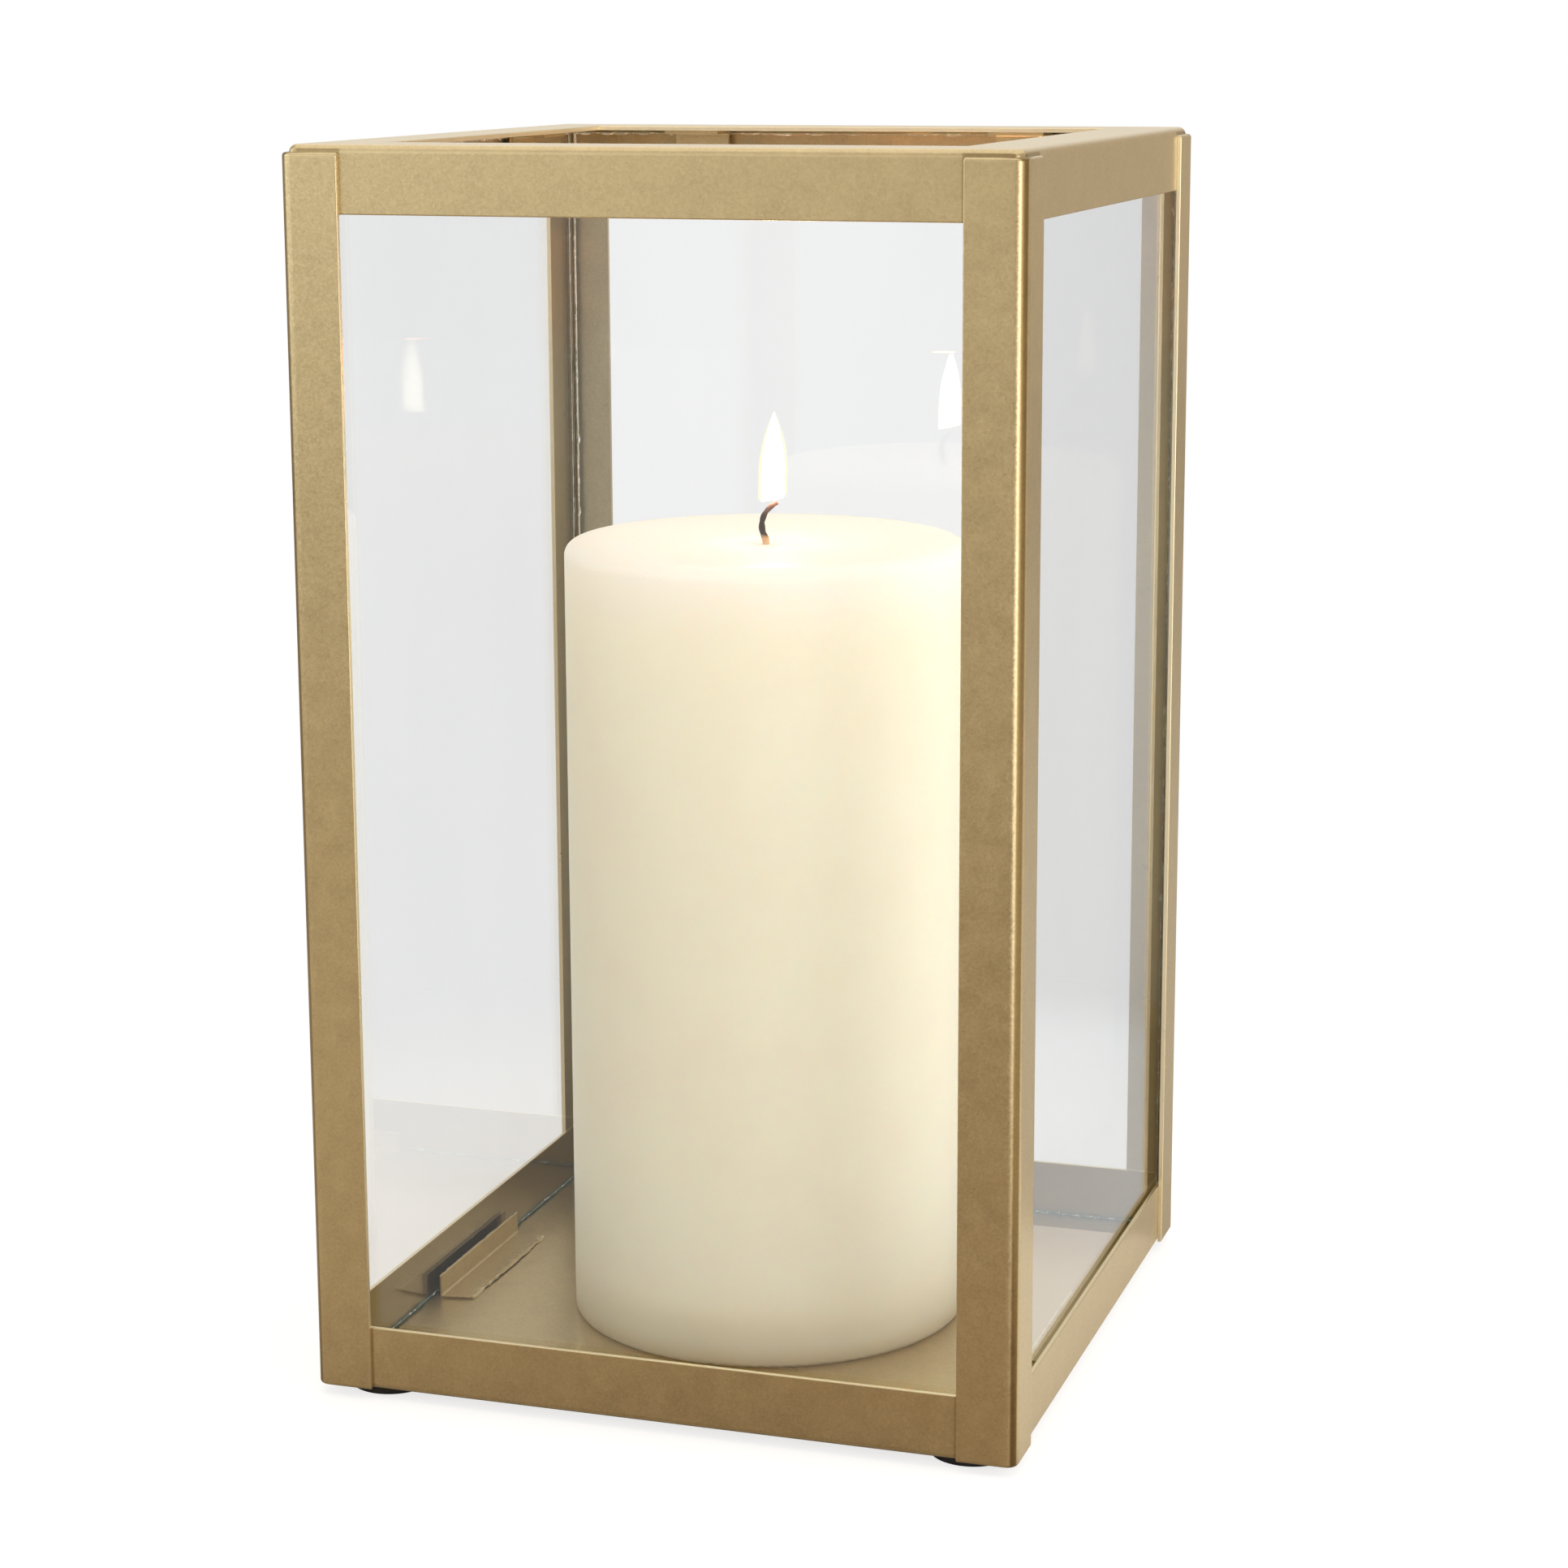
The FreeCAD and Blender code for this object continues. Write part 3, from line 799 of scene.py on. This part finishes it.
class LANTERN_OT_stage(Operator):
    """Sets the pale table, the soft lamps, the white surround and the camera"""
    bl_idname = "lantern.stage"
    bl_label = "Set the Stage"

    def execute(self, context):
        s = context.scene.lantern_stage
        self.table(s)
        self.surround(context, s)
        for *setup, in_gloss in LAMPS:
            self.lamp(*setup).visible_glossy = in_gloss
        self.flame_light(context.scene.lantern_candle)
        self.camera(context, s)
        return {"FINISHED"}

    def table(self, s):
        """A flat table. What looks straight at it sees white with the lantern's shadow. Soft gloss and
        bounced light see a painted table top, and what glass mirrors is a plain pale one."""
        reach = s.table_reach
        points = [(-reach, -reach, 0), (reach, -reach, 0), (reach, reach, 0), (-reach, reach, 0)]
        table = piece("table", points, [[0, 1, 2, 3]], smooth=False)
        made, r = material("pale_table")
        painted = r.add("ShaderNodeBsdfDiffuse", None, {"Color": self.table_top(r, s)})
        room = r.add("ShaderNodeEmission", None, {"Color": self.mirrored_top(r, s), "Strength": 1.0})
        plain = r.mix(r.add("ShaderNodeLightPath", output="Is Singular Ray"), painted, room)
        far = r.add("ShaderNodeVectorMath", {"operation": "LENGTH"}, {0: r.place()}, output="Value")
        dim = r.add("ShaderNodeBsdfDiffuse", None, {"Color": (0.35, 0.35, 0.35, 1)})
        pale = r.add("ShaderNodeEmission", None, {"Color": (1, 1, 1, 1), "Strength": 0.74})
        shaded = r.add("ShaderNodeAddShader", None, {0: dim, 1: pale})
        white = r.add("ShaderNodeEmission", None, {"Color": (1, 1, 1, 1), "Strength": 1.0})
        seen = r.mix(r.step(far, SHADOW_REACH, SHADOW_END), shaded, white)
        r.finish(r.mix(self.straight(r), plain, seen))
        table.data.materials.append(made)

    @staticmethod
    def table_top(r, s):
        """A white board with a grey table behind it, and in front of it wood that is dark on the right
        and pale on the left, with a white sheet further right."""
        spot = r.add("ShaderNodeSeparateXYZ", None, {0: r.place()})
        back = spot.out("Y")
        board = r.blend(r.step(back, s.board_back - 0.004, s.board_back + 0.004), s.board, s.behind)
        dark = r.blend(r.step(back, -0.25, -0.60), s.before, [0.72 * c for c in s.before])
        planks = r.blend(r.step(spot, 0.03, -0.23), dark, s.beside)
        in_front = r.step(back, s.board_front, s.board_front - 0.02)
        wood = in_front * r.step(spot, s.board_side + 0.02, s.board_side)
        sheet = r.step(back, -0.25, -0.35) * r.step(spot, 0.25, 0.35)
        return r.blend(sheet, r.blend(wood, board, planks), s.sheet)

    @staticmethod
    def mirrored_top(r, s):
        """Grey like the room, but pale to the right of the lantern: white on the board, and a lighter
        grey just behind it."""
        spot = r.add("ShaderNodeSeparateXYZ", None, {0: r.place()})
        back = spot.out("Y")
        right = r.step(spot, 0.085, 0.088)
        near = r.blend(r.step(back, 0.34, 0.26) * right, s.mirrored, s.mirrored_near)
        on_board = r.step(back, s.board_back + 0.3 * MM, s.board_back - 0.3 * MM) * right
        return r.blend(on_board, near, s.mirrored_board)

    @staticmethod
    def straight(r):
        """One for a ray from the camera that no surface has mirrored, else nought."""
        path = r.add("ShaderNodeLightPath")
        clear = path.maths("MAXIMUM", path.out("Is Camera Ray"), path.out("Is Transmission Ray"))
        return clear * path.maths("LESS_THAN", path.out("Glossy Depth"), 0.5)

    def surround(self, context, s):
        """White where the camera looks straight at it. As light, warm walls with daylight at the front left
        and a white screen behind, and what glass mirrors is a grey room with a warm upper part."""
        world = bpy.data.worlds.new("studio")
        context.scene.world = world
        world.use_nodes = True
        r = Recipe(world.node_tree)
        way = r.add("ShaderNodeTexCoord", output="Generated")
        to_window, to_screen = (r.add("ShaderNodeVectorMath", {"operation": "DOT_PRODUCT"},
                                      {0: way, 1: toward}, output="Value")
                                for toward in (WINDOW_WAY, SCREEN_WAY))
        day = r.step(to_window, 0.60, 0.93)
        walls = r.blend(r.step(to_screen, 0.86, 0.97), s.around, s.screen)
        white = r.add("ShaderNodeBackground", None, {"Color": (1, 1, 1, 1), "Strength": 1.0})
        studio = r.add("ShaderNodeBackground", None, {"Color": r.blend(day, walls, s.window),
                                                      "Strength": 1 + 0.70 * day})
        upward = r.add("ShaderNodeSeparateXYZ", None, {0: way}, output="Z")
        upper = r.blend(r.step(upward, 0.05, 0.16), s.mirrored, s.loft)
        room = r.add("ShaderNodeBackground", None, {"Color": upper, "Strength": 1.0})
        path = r.add("ShaderNodeLightPath")
        studio = r.mix(path.out("Is Singular Ray"), studio, room)
        r.finish(r.mix(self.straight(r), studio, white), "ShaderNodeOutputWorld")

    def lamp(self, name, bearing, distance, rise, size, power):
        """A soft box that faces the lantern's middle, at a bearing in degrees to the right of the front."""
        light = bpy.data.lights.new(name, "AREA")
        light.shape = "RECTANGLE"
        light.size, light.size_y = size
        light.energy = power
        turn = math.radians(bearing)
        place = Vector((distance * math.sin(turn), -distance * math.cos(turn), rise))
        made = bpy.data.objects.new(name, light)
        made.location = place
        made.rotation_euler = (LAMP_AIM - place).to_track_quat("-Z", "Y").to_euler()
        made.visible_camera = False
        made.visible_transmission = False
        bpy.context.scene.collection.objects.link(made)
        return made

    @staticmethod
    def flame_light(s):
        """The flame's warm light on the frame over it: a small disc at its tip that shines upwards."""
        light = bpy.data.lights.new("lamp_flame", "AREA")
        light.shape = "DISK"
        light.size = s.flame_width
        light.color = s.flame_cast
        light.energy = s.flame_power
        made = bpy.data.objects.new("lamp_flame", light)
        made.location = (0, 0, CANDLE_TOP + s.flame_top)
        made.rotation_euler = (math.pi, 0, 0)
        made.visible_camera = False
        made.visible_transmission = False
        bpy.context.scene.collection.objects.link(made)

    def camera(self, context, s):
        """Stands back from the aim point along the azimuth and elevation."""
        ahead = Vector((math.sin(s.azimuth), -math.cos(s.azimuth), 0))
        data = bpy.data.cameras.new("camera")
        data.lens = s.lens
        data.sensor_width = 36
        data.shift_y = s.drop
        data.clip_start = 0.01
        back = ahead * math.cos(s.elevation) + Vector((0, 0, math.sin(s.elevation)))
        made = bpy.data.objects.new("camera", data)
        made.location = Vector(s.aim) + back * s.distance
        made.rotation_euler = ((-back).to_track_quat("-Z", "Y") @ Quaternion((0, 0, 1), s.roll)).to_euler()
        context.scene.collection.objects.link(made)
        context.scene.camera = made
        context.scene.view_settings.view_transform = "Standard"


class LANTERN_PT_panel(Panel):
    """Lists the lantern's settings and the steps that dress it"""
    bl_idname = "LANTERN_PT_panel"
    bl_label = "Candle Lantern"
    bl_space_type = "VIEW_3D"
    bl_region_type = "UI"
    bl_category = "Lantern"

    def draw(self, context):
        for title, name in GROUPS:
            box = self.layout.box()
            box.label(text=title)
            settings = getattr(context.scene, name)
            for entry in settings.__annotations__:
                box.prop(settings, entry)
        for step in STEPS:
            self.layout.operator(step.bl_idname)


GROUPS = (("Paint", "lantern_paint"), ("Glass", "lantern_glass"), ("Candle", "lantern_candle"),
          ("Stage", "lantern_stage"))
SETTINGS = (PaintSettings, GlassSettings, CandleSettings, StageSettings)
STEPS = (LANTERN_OT_frame, LANTERN_OT_clips, LANTERN_OT_panes, LANTERN_OT_feet,
         LANTERN_OT_candle, LANTERN_OT_wick, LANTERN_OT_flame, LANTERN_OT_stage)


def register():
    for made in (*SETTINGS, *STEPS, LANTERN_PT_panel):
        bpy.utils.register_class(made)
    for (_, name), group in zip(GROUPS, SETTINGS):
        setattr(bpy.types.Scene, name, PointerProperty(type=group))


def unregister():
    for _, name in GROUPS:
        delattr(bpy.types.Scene, name)
    for made in reversed((*SETTINGS, *STEPS, LANTERN_PT_panel)):
        bpy.utils.unregister_class(made)


def main():
    register()
    for step in STEPS:
        space, name = step.bl_idname.split(".")
        getattr(getattr(bpy.ops, space), name)()


if __name__ == "__main__":
    main()
